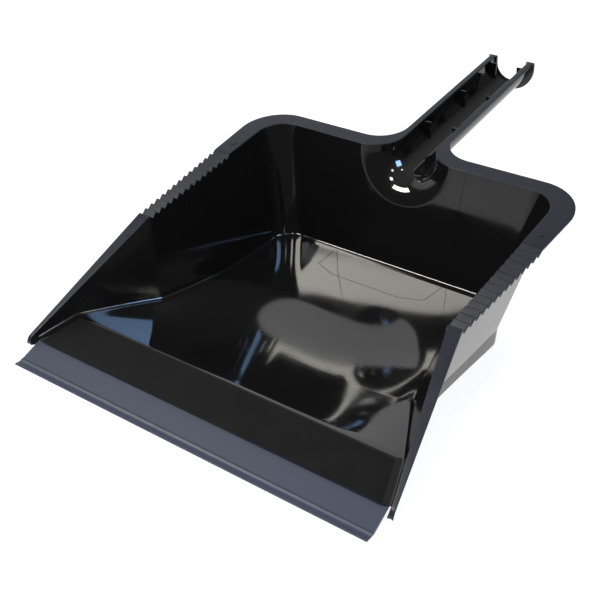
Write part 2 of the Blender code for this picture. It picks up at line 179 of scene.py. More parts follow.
# Camera: angles in degrees, distance and aim in metres, the lens for a 36 mm sensor
CAMERA_AZIMUTH, CAMERA_ELEVATION, CAMERA_ROLL = 32.685, 27.740, 4.159
CAMERA_DISTANCE, CAMERA_LENS, CAMERA_SENSOR = 0.7968, 57.61, 36.0
AIM_FROM_CENTRE, AIM_HEIGHT = (-0.029, -0.0601), 0.0225

GLOSS, SATIN, RAMP = 0, 1, 2              # material slots of the pan


def point(x, y, z):
    """A place in millimetres as a vector in the row frame."""
    return Vector((x * MM, CAD_LOW.y + y * MM, z * MM))


def blend(a, b, t):
    return a + (b - a) * t


# ---------------------------------------------------------------- the pan's surfaces


def rim_z(y):
    """Height of the rim's upper face."""
    if y >= FOLD_Y:
        return FOLD_Z + (y - FOLD_Y) * tan(RIM_TILT)
    return blend(TIP_Z, FOLD_Z, (y - TIP_Y) / (FOLD_Y - TIP_Y))


def foot_z(y):
    return max(0.0, TIP_FOOT_Z * (1.0 - (y - TIP_Y) / FOOT_RISE_LENGTH))


def floor_line(y):
    """Height of the ramp and floor before the floor sags, with the ridge between them rounded."""
    ramp = (RIDGE[2] - RAMP_END[2]) / (RIDGE[1] - RAMP_END[1])
    front = (FLOOR_FOLD_Z - RIDGE[2]) / (FLOOR_FOLD[1] - RIDGE[1])
    rear = (FLOOR_REAR_Z - FLOOR_FOLD_Z) / (FLOOR_CORNER[1] - FLOOR_FOLD[1])
    if abs(y - RIDGE[1]) < RIDGE_ROUND:
        t = (y - RIDGE[1]) / RIDGE_ROUND
        turn = (ramp - front) * RIDGE_ROUND / 4
        return RIDGE[2] - turn * (1 + t * t) + (ramp + front) / 2 * (y - RIDGE[1])
    if y < RIDGE[1]:
        return RIDGE[2] + ramp * (y - RIDGE[1])
    if y < FLOOR_FOLD[1]:
        return RIDGE[2] + front * (y - RIDGE[1])
    return FLOOR_FOLD_Z + rear * (y - FLOOR_FOLD[1])


def floor_z(y):
    """Height of the ramp and floor beside the walls."""
    length = FLOOR_CORNER[1] - FLOOR_FOLD[1]
    t = min(max((y - FLOOR_FOLD[1]) / length, 0.0), 1.0)
    rear = (FLOOR_REAR_Z - FLOOR_FOLD_Z - pi * FLOOR_SAG) / length
    front = (FLOOR_FOLD_Z - RIDGE[2]) / (FLOOR_FOLD[1] - RIDGE[1])
    near = max(FOLD_SOFTNESS - abs(y - FLOOR_FOLD[1]), 0.0)
    return floor_line(y) - FLOOR_SAG * sin(pi * t) + (rear - front) * near ** 2 / (4 * FOLD_SOFTNESS)


def hollow(share, y):
    """How far the floor lies below its edges at a share of its half width."""
    t = min(max((y - RIDGE[1]) / (FLOOR_CORNER[1] - FLOOR_MARGIN - RIDGE[1]), 0.0), 1.0)
    return (1 - share ** 4) * (HOLLOW_MIDDLE * sin(pi * t) + HOLLOW_FRONT * sin(2 * pi * t))


def plate_thickness(y):
    """Thickness of the floor, thinner towards the front of the ramp."""
    t = (y - RAMP_END[1]) / (RIDGE[1] - RAMP_END[1])
    return blend(RAMP_FRONT_THICKNESS, WALL, min(max(t, 0.0), 1.0))


class Column:
    """One upright section of the wall: foot on the floor, top on the rim, outer edge of the flange."""

    def __init__(self, foot, top, edge, floor=True, drop=0.0):
        self.foot, self.top, self.edge, self.floor = Vector(foot), Vector(top), Vector(edge), floor
        self.drop = drop                  # how far the comb or the rounded tip lowers the rim here
        self.outward = None

    def lower_rim(self):
        self.top = on_wall(self.foot, self.top, self.top.z - self.drop)
        self.edge.z -= self.drop


def between(a, b, t, floor=True):
    column = Column(a.foot.lerp(b.foot, t), a.top.lerp(b.top, t), a.edge.lerp(b.edge, t), floor)
    column.foot.z = floor_line(column.foot.y) if column.foot.y > RAMP_END[1] else column.foot.z
    return column


def key_column(foot, top_y):
    t = (top_y - TIP_Y) / (FOLD_Y - TIP_Y)
    inner, outer = blend(TIP_INNER, FOLD_INNER, t), blend(TIP_OUTER, FOLD_OUTER, t)
    return Column(foot, (inner, top_y, rim_z(top_y)), (outer, top_y, rim_z(top_y)))


def slope_columns():
    """From the tip of the wall up to the fold."""
    tip, ramp = key_column(TIP_FOOT, TIP_Y), key_column(RAMP_END, RAMP_TOP_Y)
    ridge, fold = key_column(RIDGE, RIDGE_TOP_Y), key_column((*FLOOR_FOLD, FLOOR_FOLD_Z), FOLD_Y)
    columns = [between(tip, ramp, t, floor=False) for t in TIP_SHARES]
    near = RIDGE_ROUND / (RIDGE[1] - RAMP_END[1])
    columns += [between(ramp, ridge, k / RAMP_STEPS * (1 - near)) for k in range(RAMP_STEPS + 1)]
    columns += [between(ramp, ridge, 1 - near * t) for t in (*reversed(RIDGE_SHARES), 0.0)]
    near = RIDGE_ROUND / (FLOOR_FOLD[1] - RIDGE[1])
    columns += [between(ridge, fold, near * t) for t in RIDGE_SHARES]
    columns += [between(ridge, fold, blend(near, 1.0, k / FOLD_STEPS)) for k in range(FOLD_STEPS)]
    return columns


def comb_column(along, drop=0.0):
    """A column at a distance behind the fold."""
    y, foot_y = FOLD_Y + along, FLOOR_FOLD[1] + along
    share = along / COMB_LENGTH
    foot_share = along / (FLOOR_CORNER[1] - FLOOR_CORNER[2] - FLOOR_FOLD[1])
    foot = (blend(FLOOR_FOLD[0], FLOOR_CORNER[0], foot_share), foot_y, floor_line(foot_y))
    top = (blend(FOLD_INNER, COMB_INNER, share), y, rim_z(y))
    edge = (blend(FOLD_OUTER, COMB_OUTER, share), y, rim_z(y))
    return Column(foot, top, edge, drop=drop)


def comb_columns():
    """Along the comb, with rounded crests and valleys. The first crest's middle is the fold itself."""
    flank, valley_end = TOOTH_PITCH / 2, TOOTH_DEPTH - VALLEY_RISE
    tooth = ((0.0, CREST_DROP), (CREST_LAND, SHOULDER_DROP), (flank - VALLEY_LAND, valley_end),
             (flank, TOOTH_DEPTH), (flank + VALLEY_LAND, valley_end),
             (TOOTH_PITCH - CREST_LAND, SHOULDER_DROP))
    columns = [comb_column(k * TOOTH_PITCH + along, drop) for k in range(TEETH) for along, drop in tooth]
    columns[0].drop = 0.0
    return columns


def on_corner(corner, turn):
    half, rear, radius = corner
    return half - radius + radius * cos(turn), rear - radius + radius * sin(turn)


def corner_column(turn):
    foot, top, edge = (on_corner(c, turn) for c in (FLOOR_CORNER, RIM_CORNER, FLANGE_CORNER))
    return Column((*foot, floor_line(foot[1])), (*top, rim_z(top[1])), (*edge, rim_z(edge[1])))


def rear_columns():
    """Along the flat of the rear wall to the side of the bell mouth."""
    start = corner_column(pi / 2)
    foot = (MOUTH_HALF, FLOOR_CORNER[1], FLOOR_REAR_Z)
    top = (MOUTH_HALF, RIM_CORNER[1], rim_z(RIM_CORNER[1]))
    edge = (HANDLE_HALF + HANDLE_FILLET, FLANGE_CORNER[1], rim_z(FLANGE_CORNER[1]))
    end = Column(foot, top, edge)
    return [between(start, end, k / REAR_STEPS) for k in range(1, REAR_STEPS + 1)]


def wall_columns():
    columns = slope_columns() + comb_columns()
    start, end = comb_column(COMB_LENGTH), corner_column(0.0)
    columns += [between(start, end, k / SIDE_STEPS) for k in range(SIDE_STEPS)]
    columns += [corner_column(pi / 2 * k / CORNER_STEPS) for k in range(CORNER_STEPS + 1)]
    columns += rear_columns()
    for column in columns:
        if column.foot.y > RIDGE[1] + RIDGE_ROUND:
            column.foot = on_wall(column.foot, column.top, floor_z(column.foot.y))
    for k, column in enumerate(columns):
        before, after = columns[max(k - 1, 0)], columns[min(k + 1, len(columns) - 1)]
        up = (column.top - column.foot).normalized()
        along = (after.foot + after.top - before.foot - before.top)
        along -= up * along.dot(up)
        column.outward = along.cross(up).normalized()
        if column.outward.x + column.outward.y < 0:
            column.outward.negate()
    for column in columns:
        run = column.top.y - TIP_Y
        if run < TIP_RADIUS:
            column.drop = TIP_RADIUS - sqrt(TIP_RADIUS ** 2 - (TIP_RADIUS - run) ** 2)
        column.lower_rim()
    return columns


def rounded(corners, rounds):
    """The polyline through corners, each inner one replaced by an arc of its (radius, segments)."""
    path = [corners[0]]
    for before, corner, after, (radius, segments) in zip(corners, corners[1:], corners[2:], rounds):
        a, b = before - corner, after - corner
        if segments == 0:
            path.append(corner)
            continue
        reach = max(radius / tan(a.angle(b) / 2), SHORTEST_REACH)
        reach = min(reach, LONGEST_SHARE * a.length, LONGEST_SHARE * b.length)
        start, end = corner + a.normalized() * reach, corner + b.normalized() * reach
        for k in range(segments + 1):
            t = k / segments
            path.append(start * (1 - t) ** 2 + corner * (2 * t * (1 - t)) + end * t ** 2)
    path.append(corners[-1])
    return path


def on_wall(foot, top, z):
    """The point at height z on the line through foot and top."""
    return foot + (top - foot) * ((z - foot.z) / (top.z - foot.z))


FILLET_ROUND = (FILLET, 5)
SECTION_ROUNDS = (FILLET_ROUND, ROUND_RIM_INNER, ROUND_FLANGE_TOP, ROUND_FLANGE_LOW, ROUND_UNDER_FLANGE,
                  ROUND_BAND, ROUND_FOOT, ROUND_FOOT, SHARP, SHARP)
CAP_START = 2 + FILLET_ROUND[1]
CAP_POINTS = sum(r[1] + 1 for r in SECTION_ROUNDS[1:5])
CAP_END = CAP_START + CAP_POINTS - 1


def section(column):
    """The wall's whole section, from the floor's upper face over the rim to the floor's lower face."""
    foot, top, edge, out = column.foot, column.top, column.edge, column.outward
    bottom = foot_z(foot.y)
    band = min(SKIRT_HEIGHT, blend(bottom, foot.z, BAND_SHARE))
    outer_foot, outer_top = foot + out * WALL, top + out * WALL
    under = on_wall(outer_foot, outer_top, top.z - WALL)
    edge_low = edge - Vector((0, 0, WALL))
    inner_band, outer_band = on_wall(foot, top, band), on_wall(outer_foot, outer_top, band)
    inner_low = Vector((inner_band.x, inner_band.y, bottom))
    outer_low = Vector((outer_band.x, outer_band.y, bottom))
    if column.floor:
        level = Vector((out.x, out.y, 0)).normalized()
        inner = foot - level * FLOOR_MARGIN
        inner.z = floor_z(inner.y)
        under_floor = on_wall(foot, top, foot.z - plate_thickness(foot.y))
        lower = inner - Vector((0, 0, plate_thickness(inner.y)))
    else:
        room = foot.z - band
        inner, under_floor, lower = (on_wall(foot, top, foot.z - room * t) for t in TIP_END_SHARES)
    corners = [inner, foot, top, edge, edge_low, under, outer_band, outer_low, inner_low,
               inner_band, under_floor, lower]
    return rounded(corners, SECTION_ROUNDS)


# ---------------------------------------------------------------- bell mouth and handle


def rear_wall_point(x, z):
    top_z = rim_z(RIM_CORNER[1])
    y = blend(FLOOR_CORNER[1], RIM_CORNER[1], (z - FLOOR_REAR_Z) / (top_z - FLOOR_REAR_Z))
    return Vector((x, y, z))


def mouth_angles():
    """Angles round the mouth from the rim down to the middle; the first step leaves room for the rim."""
    rest = [blend(FIRST_MOUTH_ANGLE, pi / 2, j / (MOUTH_STEPS - 1)) for j in range(MOUTH_STEPS)]
    return [0.0] + rest


def mouth_edge():
    top_z = rim_z(RIM_CORNER[1])
    edge = [rear_wall_point(MOUTH_HALF * cos(a), top_z - MOUTH_DEPTH * sin(a)) for a in mouth_angles()]
    edge[-1].x = 0.0
    return edge


def channel_point(x, depth, y):
    """A place in the handle: x across, depth square to the rim plane, y where it starts on it."""
    return Vector((x, y + depth * sin(RIM_TILT), rim_z(y) - depth * cos(RIM_TILT)))


def channel_section():
    straight = CHANNEL_DEPTH - CHANNEL_HALF
    turns = [pi / 2 * j / (MOUTH_STEPS - 1) for j in range(MOUTH_STEPS)]
    points = [(CHANNEL_HALF * cos(a), straight + CHANNEL_HALF * sin(a)) for a in turns[:-1]]
    return [(CHANNEL_HALF, 0.0)] + points + [(0.0, CHANNEL_DEPTH)]


ALONG = Vector((0.0, cos(RIM_TILT), sin(RIM_TILT)))
RIM_DOWN = Vector((0.0, sin(RIM_TILT), -cos(RIM_TILT)))
DOWN_BIAS = 0.02                          # tells outward from inward on the plane of symmetry


def stations():
    """Rows of inner points, from the mouth's edge through the bell and along the channel."""
    lean = rear_wall_point(0, rim_z(RIM_CORNER[1])) - rear_wall_point(0, FLOOR_REAR_Z)
    normal = lean.cross(Vector((1.0, 0.0, 0.0))).normalized()
    anchor = rear_wall_point(0, FLOOR_REAR_Z)
    edge = mouth_edge()
    starts = []
    for x, depth in channel_section():
        start = channel_point(x, depth, RIM_CORNER[1])
        starts.append(start + ALONG * ((anchor - start).dot(normal) / ALONG.dot(normal)))
    rows = [edge]
    for k in range(1, BELL_STEPS + 1):
        turn = pi / 2 * k / BELL_STEPS
        rows.append([e + (s - e) * sin(turn) + ALONG * ((s - e).length * (1 - cos(turn)))
                     for e, s in zip(edge, starts)])
    last = rows[-1]
    end = [channel_point(x, depth, LENGTH - END_PLATE / 2) for x, depth in channel_section()]
    for k in range(1, HANDLE_STEPS + 1):
        rows.append([a.lerp(b, k / HANDLE_STEPS) for a, b in zip(last, end)])
    return rows


def flange_edges(rows):
    """Outer edge of the handle's flange beside each row after the first."""
    fillet_x, fillet_y = HANDLE_HALF + HANDLE_FILLET, FLANGE_CORNER[1] + HANDLE_FILLET
    edges = []
    for k, row in enumerate(rows[1:], start=1):
        turn = pi / 2 * min(k / BELL_STEPS, 1.0)
        y = fillet_y - HANDLE_FILLET * cos(turn)
        if k > BELL_STEPS:
            y = blend(fillet_y, rows[-1][0].y, (k - BELL_STEPS) / HANDLE_STEPS)
        edges.append(Vector((fillet_x - HANDLE_FILLET * sin(turn), y, rim_z(y))))
    return edges


def mirrored(p):
    return Vector((-p.x, p.y, p.z))


def outer_rows(rows, wall_normal):
    """The rows moved outward by the wall's thickness."""
    result = [[p + wall_normal * WALL for p in rows[0]]]
    for k in range(1, len(rows)):
        after = rows[min(k + 1, len(rows) - 1)]
        moved = []
        for j, p in enumerate(rows[k]):
            above = rows[k][max(j - 1, 0)]
            below = rows[k][j + 1] if j + 1 < len(rows[k]) else mirrored(rows[k][j - 1])
            normal = (after[j] - rows[k - 1][j]).cross(below - above).normalized()
            if normal.dot(Vector((p.x, 0.0, 0.0)) + RIM_DOWN * DOWN_BIAS) < 0:
                normal.negate()
            moved.append(p + normal * WALL)
        moved[-1].x = 0.0
        result.append(moved)
    return result


def cap_section(inner, outer, edge):
    """Rim, flange and the corner under it beside one row of the handle."""
    across = edge - inner[0]
    across -= ALONG * across.dot(ALONG)
    low = edge + RIM_DOWN * WALL
    under = inner[0] + across.normalized() * WALL + RIM_DOWN * WALL
    corners = [inner[1], inner[0], edge, low, under, outer[1]]
    return rounded(corners, SECTION_ROUNDS[1:5])[1:-1]


# ---------------------------------------------------------------- building the pan's mesh


def add_grid(bm, rows, material=GLOSS):
    for upper, lower in zip(rows, rows[1:]):
        for k in range(len(upper) - 1):
            add_face(bm, (upper[k], upper[k + 1], lower[k + 1], lower[k]), material)


def add_face(bm, corners, material=GLOSS):
    bm.faces.new(corners).material_index = material


def floor_rows(bm, edge_rows, rear_row, lower):
    """Rows across the half floor: each starts at its wall and ends on the plane of symmetry."""
    widest = rear_row[0].co.x
    shares = [v.co.x / widest for v in rear_row]
    rows = []
    for vertex in edge_rows:
        x, y = vertex.co.x / MM, (vertex.co.y - CAD_LOW.y) / MM
        row = [vertex]
        for share in shares[1:]:
            z = floor_z(y) - hollow(share, y)
            z -= plate_thickness(y) if lower else 0.0
            row.append(bm.verts.new(point(x * share, y, z)))
        rows.append(row)
    rows.append(rear_row)
    return rows


def add_floor(bm, columns, sections, lower_inner, lower_outer):
    """The floor, its lower face, and the edges that close the front."""
    first = next(k for k, c in enumerate(columns) if c.floor)
    corner_end = len(columns) - 1 - REAR_STEPS
    for a, b in zip(sections[:first], sections[1:first + 1]):
        add_face(bm, (a[0], b[0], b[-1], a[-1]), SATIN)
    add_face(bm, sections[0])
    top_rear = [c[0] for c in lower_inner[corner_end:]]
    low_rear = [c[-1] for c in lower_outer[corner_end:]]
    tops = floor_rows(bm, [c[0] for c in lower_inner[first:corner_end]], top_rear, lower=False)
    lows = floor_rows(bm, [c[-1] for c in lower_outer[first:corner_end]], low_rear, lower=True)
    ridge = sum(1 for c in columns[first:] if c.foot.y < RIDGE[1] - TOLERANCE)
    add_grid(bm, tops[:ridge + 1], RAMP)
    add_grid(bm, tops[ridge:])
    add_grid(bm, lows)
    add_grid(bm, [tops[0], lows[0]], SATIN)


def build_half(bm):
    """All faces of the pan with x >= 0, open only at the plane of symmetry."""

    def vertex(place):
        return bm.verts.new(point(*place))

    columns = wall_columns()
    sections = [[vertex(p) for p in section(c)] for c in columns]
    lower_inner = [s[:CAP_START + 1] for s in sections]
    caps = [s[CAP_START:CAP_END + 1] for s in sections]
    lower_outer = [s[CAP_END:] for s in sections]
    last = columns[-1]

    # Below the mouth the wall's section has no rim; its middle columns run up to the mouth's edge.
    rows = stations()
    outside = outer_rows(rows, last.outward)
    shelf = section(last)
    inner_profile, outer_profile = shelf[:CAP_START], shelf[CAP_END + 1:]
    for j in range(1, MOUTH_STEPS + 1):
        share = 1 - j / MOUTH_STEPS
        below_inner, below_outer = ([vertex((p.x * share, p.y, p.z)) for p in profile]
                                    for profile in (inner_profile, outer_profile))
        lower_inner.append(below_inner + [vertex(rows[0][j])])
        lower_outer.append([vertex(outside[0][j])] + below_outer)

    # Bell mouth and channel: caps continue along the handle, the sheets hang between them.
    handle_caps = []
    for inner, outer, edge in zip(rows[1:], outside[1:], flange_edges(rows)):
        handle_caps.append([vertex(p) for p in cap_section(inner, outer, edge)])
    mouth = slice(len(columns) - 1, None)
    inner_grid = [[column[-1] for column in lower_inner[mouth]]]
    outer_grid = [[column[0] for column in lower_outer[mouth]]]
    for inner, outer, cap in zip(rows[1:], outside[1:], handle_caps):
        inner_grid.append([cap[0]] + [vertex(p) for p in inner[1:]])
        outer_grid.append([cap[-1]] + [vertex(p) for p in outer[1:]])

    add_grid(bm, lower_inner)
    add_grid(bm, lower_outer)
    add_grid(bm, inner_grid)
    add_grid(bm, outer_grid)
    add_grid(bm, caps + handle_caps, SATIN)
    for a, b, c, d in zip(inner_grid[-1], inner_grid[-1][1:], outer_grid[-1][1:], outer_grid[-1]):
        add_face(bm, (a, b, c, d))
    add_face(bm, handle_caps[-1], SATIN)
    add_floor(bm, columns, sections, lower_inner, lower_outer)


def to_object(bm, name, materials):
    mesh = bpy.data.meshes.new(name)
    for material in materials:
        mesh.materials.append(material)
    bmesh.ops.recalc_face_normals(bm, faces=bm.faces)
    bm.to_mesh(mesh)
    bm.free()
    obj = bpy.data.objects.new(name, mesh)
    bpy.context.scene.collection.objects.link(obj)
    return obj


def bake(obj):
    """Replaces the object's mesh with its evaluated one."""
    bpy.context.view_layer.update()
    evaluated = obj.evaluated_get(bpy.context.evaluated_depsgraph_get())
    mesh = bpy.data.meshes.new_from_object(evaluated)
    obj.modifiers.clear()
    obj.data = mesh


def combine(body, piece, operation="UNION"):
    modifier = body.modifiers.new(operation.lower(), "BOOLEAN")
    modifier.operation = operation
    modifier.solver = "EXACT"
    modifier.object = piece
    bake(body)
    bpy.data.objects.remove(piece)


def prism(outline, thickness, matrix, name, materials, bevel):
    """A flat outline with a thickness about its plane, its long edges bevelled."""
    bm = bmesh.new()
    low = [bm.verts.new(matrix @ Vector((x * MM, y * MM, -thickness / 2 * MM))) for x, y in outline]
    high = [bm.verts.new(matrix @ Vector((x * MM, y * MM, thickness / 2 * MM))) for x, y in outline]
    faces = [bm.faces.new(low[::-1]), bm.faces.new(high)]
    for k in range(len(low)):
        following = (k + 1) % len(low)
        bm.faces.new((low[k], low[following], high[following], high[k]))
    rims = [edge for face in faces for edge in face.edges]
    bmesh.ops.bevel(bm, geom=rims, offset=bevel * MM, segments=2, profile=0.5, affect="EDGES")
    return to_object(bm, name, materials)


def handle_frame(y):
    """Matrix of a section of the handle: X across, Y down into the channel, Z along the handle."""
    across = Vector((1.0, 0.0, 0.0))
    result = Matrix((across, RIM_DOWN, across.cross(RIM_DOWN))).transposed().to_4x4()
    result.translation = point(0.0, y, rim_z(y))
    return result


def u_outline(half, depth, steps, top):
    turns = [pi * k / steps for k in range(steps + 1)]
    arc = [(half * cos(a), depth - half + half * sin(a)) for a in turns]
    return [(half, top)] + arc + [(-half, top)]


def end_collar(materials):
    outer = u_outline(END_OUTER_HALF, END_OUTER_DEPTH, COLLAR_STEPS[0], END_RISE)
    inner = u_outline(END_INNER_HALF, END_INNER_DEPTH, COLLAR_STEPS[1], END_RISE)
    place = handle_frame(LENGTH - END_PLATE / 2 * cos(RIM_TILT))
    return prism(outer + inner[::-1], END_PLATE, place, "end_collar", materials, COLLAR_BEVEL)


def handle_rib(y, side, materials):
    buried = CHANNEL_HALF + WALL / 2
    outline = [(side * RIB_REACH, RIB_TOP), (side * (RIB_REACH + RIB_LEAN), RIB_FOOT),
               (side * buried, RIB_FOOT * RIB_SIDE_SHARE), (side * buried, RIB_TOP)]
    return prism(outline, RIB_THICKNESS, handle_frame(y), "handle_rib", materials, RIB_BEVEL)


# ---------------------------------------------------------------- mould marks


def floor_place(x, y):
    half = FLOOR_CORNER[0] - FLOOR_MARGIN
    return Vector((x, y, floor_z(y) - hollow(x / half, y)))


def along_path(corners, steps, place):
    """Places on a surface along a polyline."""
    path = []
    for start, end in zip(corners, corners[1:]):
        path += [place(*(blend(a, b, k / steps) for a, b in zip(start, end))) for k in range(steps)]
    return path + [place(*corners[-1])]


def groove(path, normal, materials):
    """A thin cutter that stands in the surface along the path."""
    bm = bmesh.new()
    rings = []
    for k, place in enumerate(path):
        run = path[min(k + 1, len(path) - 1)] - path[max(k - 1, 0)]
        side = run.cross(normal).normalized() * GROOVE_WIDTH / 2
        low, high = place - normal * GROOVE_DEPTH, place + normal
        rings.append([bm.verts.new(point(*p)) for p in (low + side, low - side, high - side, high + side)])
    add_grid(bm, [ring + ring[:1] for ring in rings])
    bm.faces.new(rings[0])
    bm.faces.new(rings[-1])
    return to_object(bm, "groove", materials)


def add_mould_marks(pan, materials):
    """The insert's outline on the floor, its two lines up the rear wall, and the ejector pins' discs."""
    outline = INSERT_OUTLINE + tuple((-x, y) for x, y in reversed(INSERT_OUTLINE))
    path = along_path(outline, INSERT_STEPS, floor_place)
    combine(pan, groove(path, Vector((0.0, 0.0, 1.0)), materials), "DIFFERENCE")
    wall = rear_wall_point(0, rim_z(RIM_CORNER[1])) - rear_wall_point(0, FLOOR_REAR_Z)
    toward_front = Vector((1.0, 0.0, 0.0)).cross(wall).normalized()
    top = rim_z(RIM_CORNER[1]) - WALL
    for x in (INSERT_LINE_X, -INSERT_LINE_X):
        path = [rear_wall_point(x, z) for z in (FLOOR_REAR_Z + FILLET, top)]
        combine(pan, groove(path, toward_front, materials), "DIFFERENCE")
    for x, y in PINS:
        tilt = RIM_TILT if y > FOLD_Y else atan2(FOLD_Z - TIP_Z, FOLD_Y - TIP_Y)
        for side in (1, -1):
            bm = bmesh.new()
            place = Matrix.Translation(point(side * x, y, rim_z(y))) @ Matrix.Rotation(tilt, 4, "X")
            bmesh.ops.create_cone(bm, cap_ends=True, segments=PIN_STEPS, radius1=PIN_RADIUS * MM,
                                  radius2=PIN_RADIUS * MM, depth=2 * PIN_HEIGHT * MM, matrix=place)
            for face in bm.faces:
                face.material_index = SATIN
            combine(pan, to_object(bm, "pin_mark", materials))


# ---------------------------------------------------------------- lip and the ledge that holds it


RAMP_RUN = Vector((0.0, RAMP_END[1] - RIDGE[1], RAMP_END[2] - RIDGE[2]))
RAMP_LENGTH = RAMP_RUN.length
RAMP_DOWN = RAMP_RUN.normalized()
RAMP_INTO = Vector((0.0, -RAMP_DOWN.z, RAMP_DOWN.y))      # square to the ramp, into the material


def under_ramp(distance, depth):
    """(y, z) at a distance down the ramp and a depth below its lower face."""
    skin = blend(WALL, RAMP_FRONT_THICKNESS, distance / RAMP_LENGTH)
    place = Vector((0.0, RIDGE[1], RIDGE[2])) + RAMP_DOWN * distance + RAMP_INTO * (skin + depth)
    return place.y, place.z


def front_half_width(y, z):
    """Half width between the flared walls at a place beside the ramp."""
    t = (y - RAMP_END[1]) / (RIDGE[1] - RAMP_END[1])
    return blend(RAMP_END[0], RIDGE[0], t) + FLARE * (z - blend(RAMP_END[2], RIDGE[2], t))


def bar_across(outline, half_width, steps, name, materials):
    """A bar across the pan with the (y, z) outline given, each point as long as half_width says."""
    bm = bmesh.new()
    rings = []
    for k in range(steps + 1):
        share = blend(-1.0, 1.0, k / steps)
        rings.append([bm.verts.new(point(share * half_width(y, z), y, z)) for y, z in outline])
    for a, b in zip(rings, rings[1:]):
        for k in range(len(a)):
            following = (k + 1) % len(a)
            bm.faces.new((a[k], a[following], b[following], b[k]))
    bm.faces.new(rings[0])
    bm.faces.new(rings[-1])
    return to_object(bm, name, materials)


def lip_holder(materials):
    back = RAMP_LENGTH - TONGUE_LENGTH - GAP
    slot = LIP_THICKNESS + 2 * GAP
    front = back + LEDGE_LENGTH
    outline = [under_ramp(back - WEB_THICKNESS, -WALL / 4), under_ramp(back, -WALL / 4),
               under_ramp(back, slot), under_ramp(front, slot),
               under_ramp(front, slot + LEDGE_THICKNESS),
               under_ramp(back - WEB_THICKNESS, slot + LEDGE_THICKNESS)]
    return bar_across(outline, lambda y, z: front_half_width(y, z) + WALL / 2, 1, "lip_holder", materials)


def lip_outline():
    """(y, z) outline of the lip with rounded edges and a shallow hollow along the front flange."""
    tongue_back = RAMP_LENGTH - TONGUE_LENGTH
    corners = [LIP_SOLE, (0.0, 0.0), (0.0, LIP_EDGE), LIP_HOLLOW, LIP_BEAD_FRONT, LIP_BEAD_REAR,
               under_ramp(RAMP_LENGTH, GAP), under_ramp(tongue_back, GAP),
               under_ramp(tongue_back, GAP + LIP_THICKNESS),
               under_ramp(RAMP_LENGTH, GAP + LIP_THICKNESS), (LIP_CREASE_Y + LIP_HEEL, 0.0), LIP_SOLE]
    path = rounded([Vector((0.0, y, z)) for y, z in corners], LIP_ROUNDS)[1:]
    return [(p.y, p.z) for p in path]


def make_lip():
    lip = bar_across(lip_outline(), lambda y, z: min(LIP_HALF, front_half_width(y, z) - LIP_CLEARANCE),
                     LIP_STEPS, "lip_strip", [rubber()])
    finish_surface(lip)
    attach(lip, "root")
    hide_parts("front_lip")


def finish_surface(obj):
    """Smooth shading that keeps the flats flat."""
    for polygon in obj.data.polygons:
        polygon.use_smooth = True
    obj.data.set_sharp_from_angle(angle=SHARP_ANGLE)
    weighted = obj.modifiers.new("weighted", "WEIGHTED_NORMAL")
    weighted.keep_sharp = True
    weighted.weight = 90
    bake(obj)


def make_pan():
    bm = bmesh.new()
    build_half(bm)
    # The satin's tone is partly the textured black's own lighter tone and partly a painted bluish sheen of
    # the right softbox, which lights it only in the gloss.
    satin = satin_plastic("black_satin_painted_blue_sheen", tone=(0.034, 0.037, 0.056), roughness=0.34, specular=0.12)
    ramp = satin_plastic("black_ramp", tone=(0.007, 0.007, 0.007), roughness=0.50, specular=0.09)
    materials = [gloss_plastic(), satin, ramp]
    pan = to_object(bm, "pan_moulding", materials)
    mirror = pan.modifiers.new("mirror", "MIRROR")
    mirror.use_axis = (True, False, False)
    mirror.merge_threshold = 0.00001
    bake(pan)
    combine(pan, lip_holder(materials))
    combine(pan, end_collar(materials))
    for y in RIB_Y:
        for side in (1, -1):
            combine(pan, handle_rib(y, side, materials))
    add_mould_marks(pan, materials)
    finish_surface(pan)
    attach(pan, "root")
    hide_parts("dustpan_body")


# ---------------------------------------------------------------- materials


def new_material(name, colour, roughness):
    material = bpy.data.materials.new(name)
    material.use_nodes = True
    shader = material.node_tree.nodes["Principled BSDF"]
    shader.inputs["Base Color"].default_value = (*colour, 1.0)
    shader.inputs["Roughness"].default_value = roughness
    return material, shader


def noise(tree, scale, detail):
    """A noise texture in object coordinates, in metres; returns its value socket."""
    place = tree.nodes.new("ShaderNodeTexCoord")
    texture = tree.nodes.new("ShaderNodeTexNoise")
    texture.inputs["Scale"].default_value = scale
    texture.inputs["Detail"].default_value = detail
    tree.links.new(place.outputs["Object"], texture.inputs["Vector"])
    return texture.outputs["Fac"]


def mapped(tree, value, low, high, to_low, to_high):
    """The value, with the range from low to high stretched to that from to_low to to_high."""
    node = tree.nodes.new("ShaderNodeMapRange")
    for name, number in (("From Min", low), ("From Max", high), ("To Min", to_low), ("To Max", to_high)):
        node.inputs[name].default_value = number
    tree.links.new(value, node.inputs["Value"])
    return node.outputs["Result"]


def bump(tree, height, strength, distance):
    node = tree.nodes.new("ShaderNodeBump")
    node.inputs["Strength"].default_value = strength
    node.inputs["Distance"].default_value = distance
    tree.links.new(height, node.inputs["Height"])
    return node.outputs["Normal"]


def gloss_plastic():
    material, shader = new_material("black_gloss", colour=(0.010, 0.010, 0.011), roughness=0.06)
    tree = material.node_tree
    clouds = noise(tree, scale=25.0, detail=4.0)
    haze = mapped(tree, clouds, low=0.35, high=0.75, to_low=0.045, to_high=0.10)
    tree.links.new(haze, shader.inputs["Roughness"])
    wave = bump(tree, noise(tree, scale=14.0, detail=1.0), strength=0.25, distance=0.0008)
    tree.links.new(wave, shader.inputs["Normal"])
    return material


def satin_plastic(name, tone, roughness, specular):
    material, shader = new_material(name, tone, roughness)
    tree = material.node_tree
    shader.inputs["Specular IOR Level"].default_value = specular
    grain = bump(tree, noise(tree, scale=2600.0, detail=2.0), strength=0.35, distance=0.00008)
    tree.links.new(grain, shader.inputs["Normal"])
    spread = 0.06
    clouds = noise(tree, scale=60.0, detail=5.0)
    rough = mapped(tree, clouds, low=0.3, high=0.7, to_low=roughness - spread, to_high=roughness + spread)
    tree.links.new(rough, shader.inputs["Roughness"])
    return material


